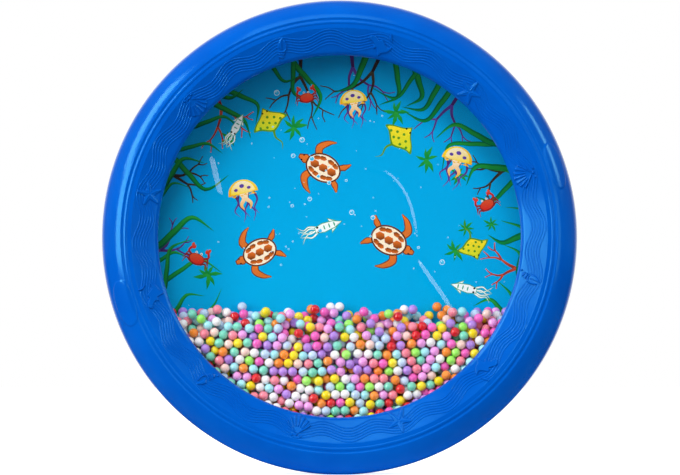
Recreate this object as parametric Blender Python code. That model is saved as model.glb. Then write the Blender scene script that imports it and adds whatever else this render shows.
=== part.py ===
"""Bead wave drum, standing on its rim with the clear head facing -Y.

Two plastic half frames clamp a clear and a printed drumhead against a spacer hoop. Beads run loose
between the heads: one studded solid stands in for the pile, and a few single beads lie on top of it.
"""

import math

import bmesh
import bpy
from mathutils import Matrix, Vector
from mathutils.geometry import delaunay_2d_cdt

MM = 0.001

# Driving sizes
DRUM_RADIUS = 100 * MM
DRUM_DEPTH = 34 * MM
WINDOW_RADIUS = 75.9 * MM
HOOP_RADIUS = 89 * MM
HOOP_WALL = 3 * MM
HOOP_LENGTH = 15 * MM
FILM_THICKNESS = 0.3 * MM
HEAD_RING_WIDTH = 7 * MM
HEAD_RING_THICKNESS = 1.4 * MM
BEAD_RADIUS = 2 * MM
SCREW_COUNT = 8
SCREW_CIRCLE = 92.2 * MM
SCREW_RADIUS = 1.25 * MM
SEGMENTS = 64
GAP = 0.3 * MM
STACK_GAP = 0.2 * MM

# Sizes that follow from them
HALF_DEPTH = DRUM_DEPTH / 2
HOOP_INNER = HOOP_RADIUS - HOOP_WALL
HOOP_HALF = HOOP_LENGTH / 2
FILM_BACK = HOOP_HALF + STACK_GAP
RING_BACK = FILM_BACK + FILM_THICKNESS + STACK_GAP
SEAT = RING_BACK + HEAD_RING_THICKNESS + STACK_GAP
HALF_FACET = math.pi / SEGMENTS
CENTRE_HEIGHT = DRUM_RADIUS * math.cos(HALF_FACET)

# Frame section: radii and distances in front of the joint plane
WALL_INNER = DRUM_RADIUS - 2.4 * MM
TONGUE_OUTER = WALL_INNER - 0.4 * MM
TONGUE_INNER = TONGUE_OUTER - 1.8 * MM
TONGUE_TOP = 3 * MM
WALL_TOP = 8 * MM
CHANNEL_INNER = HOOP_RADIUS + 1.4 * MM
CHANNEL_ROOF = HALF_DEPTH - 3.8 * MM
ROLL_BEND = 13.37 * MM
ROLL_FOOT = 4.27 * MM
ROLL_SWEEP = 70
BEZEL_INNER = 77.5 * MM
BEZEL_OUTER = 86.4 * MM
BEZEL_LOW = HALF_DEPTH - 4.65 * MM
BEZEL_HIGH = HALF_DEPTH - 0.4 * MM

# Screws: bosses meet at the joint plane, heads sit in wells in the back
BOSS_RADIUS = 2.8 * MM
HOLE_RADIUS = SCREW_RADIUS + GAP
HEAD_RADIUS = 2.1 * MM
WELL_RADIUS = HEAD_RADIUS + GAP
WELL_FLOOR = HALF_DEPTH - 2.6 * MM
HEAD_HEIGHT = 1.6 * MM
SCREW_END = 8 * MM
BOSS_SIDES = 16

# Bead pile: its top slopes up to the rear head, as in a drum that was tipped back
PILE_RADIUS = HOOP_INNER - 2 * GAP
PILE_HALF = FILM_BACK - 2 * GAP
PILE_TOP = -33.5 * MM
PILE_SLOPE = 0.36
STUD_PITCH = 2.05 * BEAD_RADIUS
STUD_HEIGHT = 1.2 * MM
LOOSE_SPAN = 124 * MM
LOOSE_DEPTHS = (-4.4 * MM, 1.2 * MM, 4.6 * MM, -1.6 * MM)

# Bead colours, one loose bead of each, left to right, as 8-bit sRGB
BEAD_COLOURS = {
    "mint": (126, 220, 195),
    "coral": (252, 141, 160),
    "sky": (195, 220, 247),
    "yellow": (250, 226, 16),
    "orchid": (243, 167, 235),
    "red": (224, 26, 37),
    "white": (247, 247, 250),
    "pink": (250, 105, 199),
    "lime": (163, 247, 103),
    "violet": (184, 139, 229),
    "orange": (252, 148, 48),
    "aqua": (169, 237, 246),
    "peach": (250, 214, 205),
}


def clear_scene():
    """Remove every object of the startup file."""
    for obj in list(bpy.data.objects):
        bpy.data.objects.remove(obj, do_unlink=True)


def linear(srgb):
    """Linear RGBA of an 8-bit sRGB colour."""
    channels = [value / 255 for value in srgb]
    return [c / 12.92 if c <= 0.04045 else ((c + 0.055) / 1.055) ** 2.4 for c in channels] + [1.0]


def material(name, srgb, roughness, metallic=0.0, alpha=1.0):
    """A Principled material in one colour."""
    mat = bpy.data.materials.new(name)
    mat.use_nodes = True
    shader = mat.node_tree.nodes["Principled BSDF"]
    shader.inputs["Base Color"].default_value = linear(srgb)
    shader.inputs["Roughness"].default_value = roughness
    shader.inputs["Metallic"].default_value = metallic
    shader.inputs["Alpha"].default_value = alpha
    return mat


def add_object(name, mesh, parent, mat=None):
    """Put a mesh in the scene under its parent."""
    obj = bpy.data.objects.new(name, mesh)
    bpy.context.scene.collection.objects.link(obj)
    obj.parent = parent
    if mat:
        mesh.materials.append(mat)
    return obj


def mesh_from(bm, name, smooth=True):
    """Turn a bmesh into a mesh with outward normals."""
    bmesh.ops.recalc_face_normals(bm, faces=bm.faces[:])
    mesh = bpy.data.meshes.new(name)
    bm.to_mesh(mesh)
    bm.free()
    for polygon in mesh.polygons:
        polygon.use_smooth = smooth
    return mesh


def on_axis(radius, front, angle):
    """Point at a radius and angle about the drum's axis, a distance in front of the joint plane."""
    return Vector((radius * math.cos(angle), -front, radius * math.sin(angle)))


def ellipse(centre, radii, start, end, steps):
    """Points of an ellipse arc between two angles in degrees, ends included."""
    angles = [math.radians(start + (end - start) * i / steps) for i in range(steps + 1)]
    return [(centre[0] + radii[0] * math.cos(a), centre[1] + radii[1] * math.sin(a)) for a in angles]


def turned(name, section, parent, mat):
    """Ring turned about the drum's axis from a closed section of (radius, front) points."""
    bm = bmesh.new()
    points = [bm.verts.new(on_axis(radius, front, HALF_FACET)) for radius, front in section]
    for start, end in zip(points, points[1:] + points[:1]):
        bm.edges.new((start, end))
    mesh = bpy.data.meshes.new(name)
    bm.to_mesh(mesh)
    bm.free()
    obj = add_object(name, mesh, parent, mat)
    screw = obj.modifiers.new("turn", "SCREW")
    screw.axis = "Y"
    screw.angle = 2 * math.pi
    screw.steps = SEGMENTS
    screw.render_steps = SEGMENTS
    screw.use_merge_vertices = True
    screw.merge_threshold = 0.00001
    screw.use_smooth_shade = True
    return obj


def stacked_rings(rings, sides):
    """Solid of revolution about Y through (radius, front) rings, with flat ends, as a bmesh."""
    bm = bmesh.new()
    turn = math.pi / sides
    loops = [
        [bm.verts.new(on_axis(radius, front, turn + 2 * math.pi * i / sides)) for i in range(sides)]
        for radius, front in rings
    ]
    for lower, upper in zip(loops, loops[1:]):
        for i in range(sides):
            j = (i + 1) % sides
            bm.faces.new((lower[i], lower[j], upper[j], upper[i]))
    bm.faces.new(loops[0])
    bm.faces.new(loops[-1])
    return bm


def screw_places():
    """Centre of each screw in the joint plane, relative to the drum's axis."""
    return [on_axis(SCREW_CIRCLE, 0, 2 * math.pi * i / SCREW_COUNT) for i in range(SCREW_COUNT)]


def helper_cylinders(name, radius, low, high, parent):
    """One hidden helper mesh with a cylinder at every screw."""
    bm = bmesh.new()
    upright = Matrix.Rotation(math.pi / 2, 4, "X")
    for place in screw_places():
        centre = place + Vector((0, -(low + high) / 2, 0))
        bmesh.ops.create_cone(
            bm, cap_ends=True, segments=BOSS_SIDES, radius1=radius, radius2=radius, depth=high - low,
            matrix=Matrix.Translation(centre) @ upright,
        )
    obj = add_object(name, mesh_from(bm, name), parent)
    obj.hide_render = True
    obj.display_type = "WIRE"
    return obj


def combine(obj, helper, operation):
    """Union or difference with a helper mesh."""
    boolean = obj.modifiers.new(helper.name, "BOOLEAN")
    boolean.operation = operation
    boolean.solver = "EXACT"
    boolean.object = helper


def window_lip(sign):
    """Rounded inner edge of a frame, from the bezel down to the seat of the head ring."""
    corner = ellipse((BEZEL_INNER, SEAT + 0.3 * MM), (BEZEL_INNER - WINDOW_RADIUS, BEZEL_LOW - SEAT - 0.3 * MM),
                     90, 180, 3)
    return [(radius, sign * front) for radius, front in corner] + [(WINDOW_RADIUS, sign * SEAT)]


def front_section():
    """Closed section of the front frame."""
    roll = ellipse((DRUM_RADIUS - ROLL_BEND, ROLL_FOOT), (ROLL_BEND, ROLL_BEND), 0, ROLL_SWEEP, 6)
    groove = [
        (90.61 * MM, HALF_DEPTH - 0.21 * MM),
        (90.11 * MM, HALF_DEPTH - 0.34 * MM),
    ]
    ridge = [
        (89.55 * MM, HALF_DEPTH - 0.17 * MM),
        (88.99 * MM, HALF_DEPTH),
        (88.3 * MM, HALF_DEPTH - 0.25 * MM),
    ]
    land = [
        (BEZEL_OUTER + 0.3 * MM, HALF_DEPTH - 0.25 * MM),
        (BEZEL_OUTER, BEZEL_HIGH),
    ]
    channel = [
        (CHANNEL_INNER, SEAT),
        (CHANNEL_INNER, CHANNEL_ROOF - 1.4 * MM),
        (CHANNEL_INNER + 1.2 * MM, CHANNEL_ROOF),
        (WALL_INNER - 3.2 * MM, CHANNEL_ROOF),
        (WALL_INNER, WALL_TOP),
        (WALL_INNER, GAP / 2),
    ]
    return [(DRUM_RADIUS, GAP / 2)] + roll + groove + ridge + land + window_lip(1) + channel


def rear_section():
    """Closed section of the rear frame: flat back, and a tongue that laps inside the front wall."""
    roll = ellipse((DRUM_RADIUS - 4.6 * MM, -WALL_TOP), (4.6 * MM, HALF_DEPTH - WALL_TOP), 0, -90, 5)
    channel = [
        (CHANNEL_INNER, -SEAT),
        (CHANNEL_INNER, -CHANNEL_ROOF),
        (TONGUE_INNER, -CHANNEL_ROOF),
        (TONGUE_INNER, TONGUE_TOP),
        (TONGUE_OUTER, TONGUE_TOP),
        (TONGUE_OUTER, -GAP / 2),
    ]
    flat_edge = [(BEZEL_OUTER + MM, -HALF_DEPTH), (BEZEL_OUTER, -BEZEL_HIGH)]
    return [(DRUM_RADIUS, -GAP / 2)] + roll + flat_edge + window_lip(-1) + channel


def build_frames(axis, blue):
    """Half frames with their screw bosses, holes and wells."""
    front = turned("front_frame", front_section(), axis, blue)
    combine(front, helper_cylinders("front_bosses", BOSS_RADIUS, GAP / 2, CHANNEL_ROOF + 0.4 * MM, axis), "UNION")
    combine(front, helper_cylinders("front_holes", HOLE_RADIUS, -GAP, SCREW_END + MM, axis), "DIFFERENCE")
    rear = turned("rear_frame", rear_section(), axis, blue)
    combine(rear, helper_cylinders("rear_bosses", BOSS_RADIUS, -CHANNEL_ROOF - 0.4 * MM, -GAP / 2, axis), "UNION")
    combine(rear, helper_cylinders("rear_holes", HOLE_RADIUS, -HALF_DEPTH, GAP, axis), "DIFFERENCE")
    combine(rear, helper_cylinders("rear_wells", WELL_RADIUS, -HALF_DEPTH - MM, -WELL_FLOOR, axis), "DIFFERENCE")


def rectangle_section(inner, outer, low, high):
    """Closed rectangular section of a plain ring."""
    return [(outer, low), (outer, high), (inner, high), (inner, low)]


def build_heads(axis, film_clear, film_print, hoop_mat):
    """Spacer hoop, and on each side of it a film and the ring that holds the film taut."""
    turned("track_hoop", rectangle_section(HOOP_INNER, HOOP_RADIUS, -HOOP_HALF, HOOP_HALF), axis, hoop_mat)
    ring_inner = HOOP_RADIUS - HEAD_RING_WIDTH
    for name, sign, film in (("clear_head", 1, film_clear), ("printed_head", -1, film_print)):
        low, high = sorted((sign * FILM_BACK, sign * (FILM_BACK + FILM_THICKNESS)))
        disc = stacked_rings([(HOOP_RADIUS, low), (HOOP_RADIUS, high)], SEGMENTS)
        add_object(name, mesh_from(disc, name, smooth=False), axis, film)
        low, high = sorted((sign * RING_BACK, sign * (RING_BACK + HEAD_RING_THICKNESS)))
        turned(name + "_ring", rectangle_section(ring_inner, HOOP_RADIUS, low, high), axis, hoop_mat)


def screw_mesh():
    """Pan-head screw along Y with a cross recess, its head's underside at the origin."""
    rings = [
        (SCREW_RADIUS * 0.5, WELL_FLOOR + SCREW_END),
        (SCREW_RADIUS, WELL_FLOOR + SCREW_END - 1.5 * MM),
        (SCREW_RADIUS, -GAP / 2),
        (HEAD_RADIUS, -GAP / 2),
        (HEAD_RADIUS, -HEAD_HEIGHT * 0.5),
        (HEAD_RADIUS * 0.7, -HEAD_HEIGHT),
    ]
    blank = add_object("screw_blank", mesh_from(stacked_rings(rings, BOSS_SIDES), "screw_blank"), None)
    bm = bmesh.new()
    bmesh.ops.create_cube(bm, size=1.0)
    bmesh.ops.scale(bm, verts=bm.verts[:], vec=(HEAD_RADIUS * 1.1, HEAD_HEIGHT, 0.5 * MM))
    cross_arm = add_object("cross_arm", mesh_from(bm, "cross_arm", smooth=False), None)
    cross_arm.location.y = HEAD_HEIGHT
    upright_arm = add_object("upright_arm", cross_arm.data.copy(), None)
    upright_arm.location.y = HEAD_HEIGHT
    upright_arm.rotation_euler.y = math.pi / 2
    combine(blank, cross_arm, "DIFFERENCE")
    combine(blank, upright_arm, "DIFFERENCE")
    depsgraph = bpy.context.evaluated_depsgraph_get()
    mesh = bpy.data.meshes.new_from_object(blank.evaluated_get(depsgraph))
    for helper in (blank, cross_arm, upright_arm):
        bpy.data.objects.remove(helper, do_unlink=True)
    return mesh


def build_screws(axis, steel):
    """Screws in from the back, heads in their wells."""
    master = screw_mesh()
    for number, place in enumerate(screw_places(), start=1):
        screw = add_object(f"screw_{number}", master.copy(), axis, steel)
        screw.location = place + Vector((0, WELL_FLOOR, 0))


def pile_outline(front):
    """Outline of the pile, a distance in front of the joint plane: round below, a level line on top."""
    top = PILE_TOP - PILE_SLOPE * front
    half_angle = math.acos(-top / PILE_RADIUS)
    arc_steps = 36
    line_steps = 34
    arc = [
        on_axis(PILE_RADIUS, front, -math.pi / 2 - half_angle + 2 * half_angle * i / arc_steps)
        for i in range(arc_steps + 1)
    ]
    line = [arc[-1].lerp(arc[0], i / line_steps) for i in range(1, line_steps)]
    return arc + line


def stud_lattice(top):
    """Crowns of close-packed beads and the hollows between them, as (x, z) lists inside the outline."""
    row_height = STUD_PITCH * math.sqrt(3) / 2
    limit = PILE_RADIUS - 0.5 * STUD_PITCH
    crowns = []
    hollows = []
    for row in range(1, int((PILE_RADIUS + top) / row_height)):
        z = top - row * row_height + 0.2 * STUD_PITCH
        shift = 0.5 * STUD_PITCH * (row % 2)
        count = int(PILE_RADIUS / STUD_PITCH) + 1
        for column in range(-count, count + 1):
            x = column * STUD_PITCH + shift
            if math.hypot(x, z) < limit:
                crowns.append((x, z))
                hollows.append((x, z - row_height * 2 / 3))
                hollows.append((x, z + row_height * 2 / 3))
    hollows = sorted({(round(x, 6), round(z, 6)) for x, z in hollows})
    room = 0.2 * STUD_PITCH
    hollows = [(x, z) for x, z in hollows if math.hypot(x, z) < PILE_RADIUS - room and z < top - room]
    return crowns, hollows


def build_pile(axis, mat):
    """One solid for the pile of beads, studded where it faces the clear head."""
    valley = PILE_HALF - STUD_HEIGHT
    front_ring = pile_outline(valley)
    back_ring = pile_outline(-PILE_HALF)
    crowns, hollows = stud_lattice(PILE_TOP - PILE_SLOPE * valley)
    flat = [Vector((point.x, point.z)) for point in front_ring]
    flat += [Vector(point) for point in crowns + hollows]
    boundary = list(range(len(front_ring)))
    places, _, faces, sources, _, _ = delaunay_2d_cdt(flat, [], [boundary], 1, 0.00001)
    crown_range = range(len(front_ring), len(front_ring) + len(crowns))
    bm = bmesh.new()
    front_verts = []
    front_at = {}
    for place, source in zip(places, sources):
        crown = any(index in crown_range for index in source)
        vert = bm.verts.new((place.x, -(PILE_HALF if crown else valley), place.y))
        front_verts.append(vert)
        for index in source:
            front_at[index] = vert
    for face in faces:
        bm.faces.new([front_verts[index] for index in face])
    back_verts = [bm.verts.new(point) for point in back_ring]
    bm.faces.new(back_verts)
    for i in boundary:
        j = (i + 1) % len(boundary)
        bm.faces.new((front_at[i], front_at[j], back_verts[j], back_verts[i]))
    return add_object("bead_pile", mesh_from(bm, "bead_pile", smooth=False), axis, mat)


def build_loose_beads(pile):
    """Single beads spread over the top of the pile, one of each colour."""
    spacing = LOOSE_SPAN / (len(BEAD_COLOURS) - 1)
    for number, (colour, srgb) in enumerate(BEAD_COLOURS.items()):
        bm = bmesh.new()
        bmesh.ops.create_uvsphere(bm, u_segments=12, v_segments=8, radius=BEAD_RADIUS)
        name = "loose_bead_" + colour
        bead = add_object(name, mesh_from(bm, name), pile, material("bead_" + colour, srgb, 0.18))
        depth = LOOSE_DEPTHS[number % len(LOOSE_DEPTHS)]
        height = PILE_TOP + PILE_SLOPE * depth + BEAD_RADIUS * math.hypot(1, PILE_SLOPE) + GAP
        bead.location = (number * spacing - LOOSE_SPAN / 2, depth, height)


def main():
    clear_scene()
    axis = add_object("drum_axis", None, None)
    axis.location.z = CENTRE_HEIGHT
    build_frames(axis, material("blue_abs", (0, 81, 183), 0.13))
    film_clear = material("clear_film", (235, 244, 250), 0.05, alpha=0.2)
    film_print = material("printed_film", (4, 168, 228), 0.25)
    build_heads(axis, film_clear, film_print, material("hoop_plastic", (0, 81, 183), 0.13))
    build_screws(axis, material("screw_steel", (150, 152, 156), 0.35, metallic=1.0))
    build_loose_beads(build_pile(axis, material("bead_mix", (232, 150, 120), 0.25)))


main()
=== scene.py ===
"""Looks of the bead wave drum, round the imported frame: moulded frame, film heads, sea print and beads."""

import math

import bmesh
import bpy
import numpy as np
from mathutils import Matrix, Vector
from mathutils.geometry import delaunay_2d_cdt
from mathutils.kdtree import KDTree

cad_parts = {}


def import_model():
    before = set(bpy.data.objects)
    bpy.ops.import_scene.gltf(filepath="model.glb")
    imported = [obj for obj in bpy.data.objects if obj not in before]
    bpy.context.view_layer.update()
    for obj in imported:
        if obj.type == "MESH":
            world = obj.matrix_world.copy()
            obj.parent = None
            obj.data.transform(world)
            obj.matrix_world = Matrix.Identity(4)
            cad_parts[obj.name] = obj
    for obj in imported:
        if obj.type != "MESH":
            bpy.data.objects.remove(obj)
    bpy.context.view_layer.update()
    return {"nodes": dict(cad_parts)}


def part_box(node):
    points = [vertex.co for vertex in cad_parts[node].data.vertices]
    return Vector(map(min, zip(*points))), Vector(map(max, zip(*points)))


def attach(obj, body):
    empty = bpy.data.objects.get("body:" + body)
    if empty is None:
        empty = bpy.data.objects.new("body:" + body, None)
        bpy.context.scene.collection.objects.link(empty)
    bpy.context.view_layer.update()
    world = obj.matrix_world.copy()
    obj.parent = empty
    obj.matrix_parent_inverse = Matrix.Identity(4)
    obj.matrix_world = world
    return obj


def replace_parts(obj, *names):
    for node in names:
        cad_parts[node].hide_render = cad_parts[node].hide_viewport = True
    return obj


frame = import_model()

MM = 0.001

# Frame section, in millimetres: radii, and distances in front of the joint plane
DRUM_RADIUS = 100.0
HALF_DEPTH = 17.0
WINDOW_RADIUS = 75.9
SEAT = 9.8
WALL_TOP = 8.0
PARTING_EDGE = 0.15
EDGE_BREAK = 0.3
WALL_FOOT = [(DRUM_RADIUS - EDGE_BREAK, PARTING_EDGE), (DRUM_RADIUS, PARTING_EDGE + EDGE_BREAK)]
CHANNEL_INNER = 90.4
CHANNEL_ROOF = 13.2
WALL_INNER = 97.6
TONGUE_INNER = 95.4
TONGUE_OUTER = 97.2
TONGUE_TOP = 3.0
BEZEL_INNER = 77.5
BEZEL_OUTER = 86.4
BEZEL_LOW = 12.35
BEZEL_HIGH = 16.6
LAND_WIDTH = 1.5
BEZEL_GUARD = 0.06
ROOF_CHAMFER = (1.2, 1.4)
ROOF_SLOPE = 3.2
RING_COLUMNS = 504
CENTRE = (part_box("front_frame")[0][2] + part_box("front_frame")[1][2]) / 2 / MM

# Front section as arcs toward the axis: tilt at start and end in degrees, and bend radius
ROLL_FOOT = 4.27
ROLL_ARCS = ((90, 20, 13.37),)
GROOVE_ARCS = ((20, -30, 0.7), (-30, 34, -1.0))
RIDGE_ARCS = ((34, -36, 1.0), (-36, 0, -0.3))
EDGE_ARCS = ((0, -38, 0.3), (-38, -25, -0.8))
LIP_ARCS = ((-25, -90, 2.77),)

# Back of the rear frame: its roll, and the flat as radii with their depth below the back
REAR_ROLL = 4.6
BACK_FLAT = ((92.0, 0.0), (87.6, 0.0), (87.1, 0.08), (86.7, 0.25))

# Screws in the back
SCREW_COUNT = 8
SCREW_CIRCLE = 92.2
WELL_RADIUS = 2.4
WELL_FLOOR = 14.4

# Raised wave lines on the bezels
WAVES = 24
WAVE_SWING = 1.35
WAVE_LINES = 6
WAVE_PITCH = 1.11
WAVE_OUTER_MEAN = 84.72
WAVE_CREST = math.radians(92.8)
LINE_HEIGHT = 0.25
LINE_HALF_WIDTH = 0.31
LINE_GUARD = 0.34

# Bare oval pads on the outer roll: angle, middle radius and half height; the second runs over the groove
PADS = ((math.radians(17.8), 94.7, 3.3), (math.radians(197.8), 93.6, 4.1))
PAD_HALF = math.radians(6.1)
PAD_COLUMN = math.radians(0.16)
PAD_EDGE = 0.05
PAD_POWER = 2.4
PAD_RISE = 0.3

# Sea ornaments on the front bezel
ORNAMENT_COUNT = 12
ORNAMENT_FIRST = math.radians(17.8)
ORNAMENT_RADIUS = 81.9
ORNAMENT_HEIGHT = 0.75
RELIEF_HALF = 6.4
RELIEF_STEP = 0.13
RELIEF_SINK = 0.12
RELIEF_ROOT = 0.5

# Heads and chamber
FILM_RADIUS = 89.0
FILM_BACK = 7.7
FILM_FRONT = 8.0
FILM_STEP = 2.0
FILM_COLUMNS = 160
FILM_SLACK = 0.1
FILM_HELD = 12
CHAMBER_RADIUS = 85.8

# Creases of the clear film: points along each, half width and depth at its middle
CREASES = (
    ([(10, 29), (20, 26), (27, 18), (30.5, 8), (32, -2)], 0.8, 0.28),
    ([(31, -9), (37, -18), (42, -25), (48, -34.5)], 1.3, 0.45),
    ([(-56, 35), (-53.5, 25), (-51, 15)], 2.2, 0.76),
)

# Beads
BEAD_RADIUS = 2.0
PILE_SLOPE = 0.36
HEAP_TOP = -26.0
BEAD_SEED = 7
HEAP_PITCH = 2.16 * BEAD_RADIUS
HEAP_JITTER = 0.9
POUR_FALL = 0.05
POUR_STEPS = 200
CALM_STEPS = 100

# Bead colours as 8-bit sRGB, with their share of the pile
BEAD_COLOURS = {
    "mint": ((126, 220, 195), 0.09),
    "coral": ((252, 141, 160), 0.08),
    "sky": ((195, 220, 247), 0.10),
    "yellow": ((250, 226, 16), 0.10),
    "orchid": ((243, 167, 235), 0.08),
    "red": ((224, 26, 37), 0.045),
    "white": ((247, 247, 250), 0.09),
    "pink": ((250, 105, 199), 0.11),
    "lime": ((163, 247, 103), 0.04),
    "violet": ((184, 139, 229), 0.09),
    "orange": ((252, 148, 48), 0.075),
    "aqua": ((169, 237, 246), 0.11),
    "peach": ((250, 214, 205), 0.05),
}

# Frame plastic and screw steel as 8-bit sRGB, and the plastic's roughness
PLASTIC_LOW = (0, 77, 173)
PLASTIC_HIGH = (0, 84, 182)
PLASTIC_SHEEN = (104, 234, 255)
PLASTIC_ROUGHNESS = (0.13, 0.18)
STEEL_LOW = (150, 152, 156)
STEEL_HIGH = (196, 198, 200)

# Print inks as 8-bit sRGB; the water's second ink, at the top of the print, is darker as painted shade under
# the rim
WATER_LOW = (0, 175, 230)
WATER_TOP_SHADE = (0, 160, 221)
KELP = ((4, 92, 62), (6, 132, 58), (40, 160, 60))
ROOT = ((46, 28, 30), (70, 62, 44))
CORAL = ((132, 40, 38), (216, 84, 48))
PLUM = (74, 40, 96)
CREAM = (252, 236, 206)
SHELL_BROWN = (96, 46, 22)
SHELL_ORANGE = (232, 116, 40)
SKIN = (206, 112, 48)
YELLOW = (250, 220, 44)
GOLD = (238, 168, 28)
VIOLET_INK = (92, 66, 160)
VIOLETS = (PLUM, VIOLET_INK)
LIME_INK = (196, 216, 40)
LEAF_INK = (86, 148, 40)
RED_INK = (212, 40, 34)
WHITE_INK = (242, 250, 248)
GREEN_LINE = (70, 168, 132)
DARK_INK = (22, 20, 30)
BUBBLE_INK = (92, 206, 244)

# Seed of the print, and the radii that weed and coral grow in from
PRINT_SEED = 11
WEED_ROOT = 88
CORAL_ROOT = 86

# Light levels
FILL_LOW = 0.05
FILL_HIGH = 0.45
FILL_BACK = 0.6
ROOM_GLOW = 0.02
SIDE_GLOW = 0.12
FLOOR_BOUNCE = 0.3

# Photograph's frame, and where the drum's rim lies in it
IMAGE_WIDTH = 680
IMAGE_HEIGHT = 475
RIM_CENTRE = (339.4, 235.9)
RIM_PIXELS = 238.28
CAMERA_DISTANCE = 1.0
CAMERA_TURN = 0.2
CAMERA_LIFT = -3.3


def linear(srgb):
    """Linear RGBA of an 8-bit sRGB colour."""
    channels = [value / 255 for value in srgb]
    return [c / 12.92 if c <= 0.04045 else ((c + 0.055) / 1.055) ** 2.4 for c in channels] + [1.0]


# Materials


def new_material(name):
    """A node material, its tree and its Principled shader."""
    mat = bpy.data.materials.new(name)
    mat.use_nodes = True
    return mat, mat.node_tree, mat.node_tree.nodes["Principled BSDF"]


def feed(tree, node, inputs):
    """Set the inputs of a node, or link those that are given another node's output."""
    for key, value in inputs.items():
        if isinstance(value, bpy.types.NodeSocket):
            tree.links.new(value, node.inputs[key])
        else:
            node.inputs[key].default_value = value


def add_node(tree, kind, inputs=None, **settings):
    """A shader node with its settings and inputs."""
    node = tree.nodes.new(kind)
    for key, value in settings.items():
        setattr(node, key, value)
    feed(tree, node, inputs or {})
    return node


def noise(tree, scale, detail=3.0):
    """Noise in object space; the scale is in features per metre."""
    place = add_node(tree, "ShaderNodeTexCoord").outputs["Object"]
    inputs = {"Vector": place, "Scale": scale, "Detail": detail}
    return add_node(tree, "ShaderNodeTexNoise", inputs).outputs["Fac"]


def ramp(tree, factor, low, high, start=0.3, end=0.7):
    """Colour that runs from low to high as the factor goes from start to end."""
    node = add_node(tree, "ShaderNodeValToRGB", {"Fac": factor})
    first, last = node.color_ramp.elements
    first.position, first.color = start, low
    last.position, last.color = end, high
    return node.outputs["Color"]


def span(tree, value, low, high, start=0.3, end=0.7, curve="LINEAR"):
    """Number that runs from low to high as the value goes from start to end."""
    inputs = {"Value": value, "From Min": start, "From Max": end, "To Min": low, "To Max": high}
    return add_node(tree, "ShaderNodeMapRange", inputs, interpolation_type=curve).outputs["Result"]


def combined(tree, operation, first, second):
    """Two numbers joined by a math operation."""
    return add_node(tree, "ShaderNodeMath", {0: first, 1: second}, operation=operation).outputs[0]


def grained(tree, scale, detail, strength, distance):
    """Normal of a surface with a fine grain."""
    inputs = {"Height": noise(tree, scale, detail), "Strength": strength, "Distance": distance}
    return add_node(tree, "ShaderNodeBump", inputs).outputs["Normal"]


def two_shaders(tree, share, first, second):
    """Surface that goes from the first shader to the second as the share goes from 0 to 1."""
    mix = add_node(tree, "ShaderNodeMixShader", {0: share, 1: first.outputs[0], 2: second.outputs[0]})
    feed(tree, tree.nodes["Material Output"], {"Surface": mix.outputs[0]})


def moulded_plastic():
    """Glossy blue moulded plastic with faint flow marks and an even fine grain."""
    mat, tree, shader = new_material("blue_abs")
    feed(tree, shader, {
        "Base Color": ramp(tree, noise(tree, 55), linear(PLASTIC_LOW), linear(PLASTIC_HIGH)),
        "Specular Tint": linear(PLASTIC_SHEEN),
        "Roughness": span(tree, noise(tree, 240), *PLASTIC_ROUGHNESS),
        "Normal": grained(tree, 900, 2.0, 0.06, 0.0002),
    })
    return mat


def plated_steel():
    """Plated steel with fine scratches."""
    mat, tree, shader = new_material("plated_steel")
    feed(tree, shader, {
        "Base Color": ramp(tree, noise(tree, 700), linear(STEEL_LOW), linear(STEEL_HIGH)),
        "Metallic": 1.0,
        "Roughness": span(tree, noise(tree, 1500), 0.25, 0.45),
        "Normal": grained(tree, 2500, 3.0, 0.1, 0.0001),
    })
    return mat


def bead_plastic(name, srgb):
    """Glossy bead plastic; each bead has its own slight tone."""
    mat, tree, shader = new_material(name)
    base = linear(srgb)
    dark = [channel * 0.88 for channel in base[:3]] + [1.0]
    light = [channel * 0.97 + 0.03 * max(base[:3]) for channel in base[:3]] + [1.0]
    tone = add_node(tree, "ShaderNodeAttribute", attribute_name="bead_tone").outputs["Fac"]
    feed(tree, shader, {
        "Base Color": ramp(tree, tone, dark, light, 0.0, 1.0),
        "Roughness": span(tree, noise(tree, 600), 0.08, 0.14),
        "Specular IOR Level": 1.0,
        "Subsurface Weight": 0.35,
        "Subsurface Radius": (1.0, 1.0, 1.0),
        "Subsurface Scale": 1.2 * MM,
    })
    return mat


def clear_film():
    """Clear film: see-through, with gloss that grows toward grazing angles on both faces alike."""
    mat, tree, shader = new_material("clear_film")
    tree.nodes.remove(shader)
    clear = add_node(tree, "ShaderNodeBsdfTransparent", {"Color": linear((254, 254, 254))})
    rough = span(tree, noise(tree, 120), 0.06, 0.12)
    gloss = add_node(tree, "ShaderNodeBsdfGlossy", {"Color": (1, 1, 1, 1), "Roughness": rough})
    facing = add_node(tree, "ShaderNodeLayerWeight", {"Blend": 0.5}).outputs["Facing"]
    share = span(tree, combined(tree, "POWER", facing, 5.0), 0.035, 1.0, 0.0, 1.0)
    two_shaders(tree, share, clear, gloss)
    return mat


def printed_film():
    """Printed film: the inks are in the mesh's colours, with a fine screen grain, under gloss."""
    mat, tree, shader = new_material("printed_film")
    ink = add_node(tree, "ShaderNodeVertexColor", layer_name="ink").outputs["Color"]
    grain = ramp(tree, noise(tree, 1800, 2.0), (0.9, 0.9, 0.9, 1), (1, 1, 1, 1))
    inputs = {0: 1.0, 6: ink, 7: grain}
    mix = add_node(tree, "ShaderNodeMix", inputs, data_type="RGBA", blend_type="MULTIPLY")
    feed(tree, shader, {"Base Color": mix.outputs[2], "Roughness": span(tree, noise(tree, 300), 0.05, 0.1)})
    return mat


# Mesh helpers


def world(x, z, front):
    """World point of a place on the drum, in millimetres from its centre."""
    return Vector((x * MM, -front * MM, (CENTRE + z) * MM))


def polar(radius, angle):
    """Plane point at a radius and an angle in radians."""
    return radius * np.array([math.cos(angle), math.sin(angle)])


def add_object(name, data):
    """Put an object in the scene."""
    obj = bpy.data.objects.new(name, data)
    bpy.context.scene.collection.objects.link(obj)
    return obj


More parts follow.
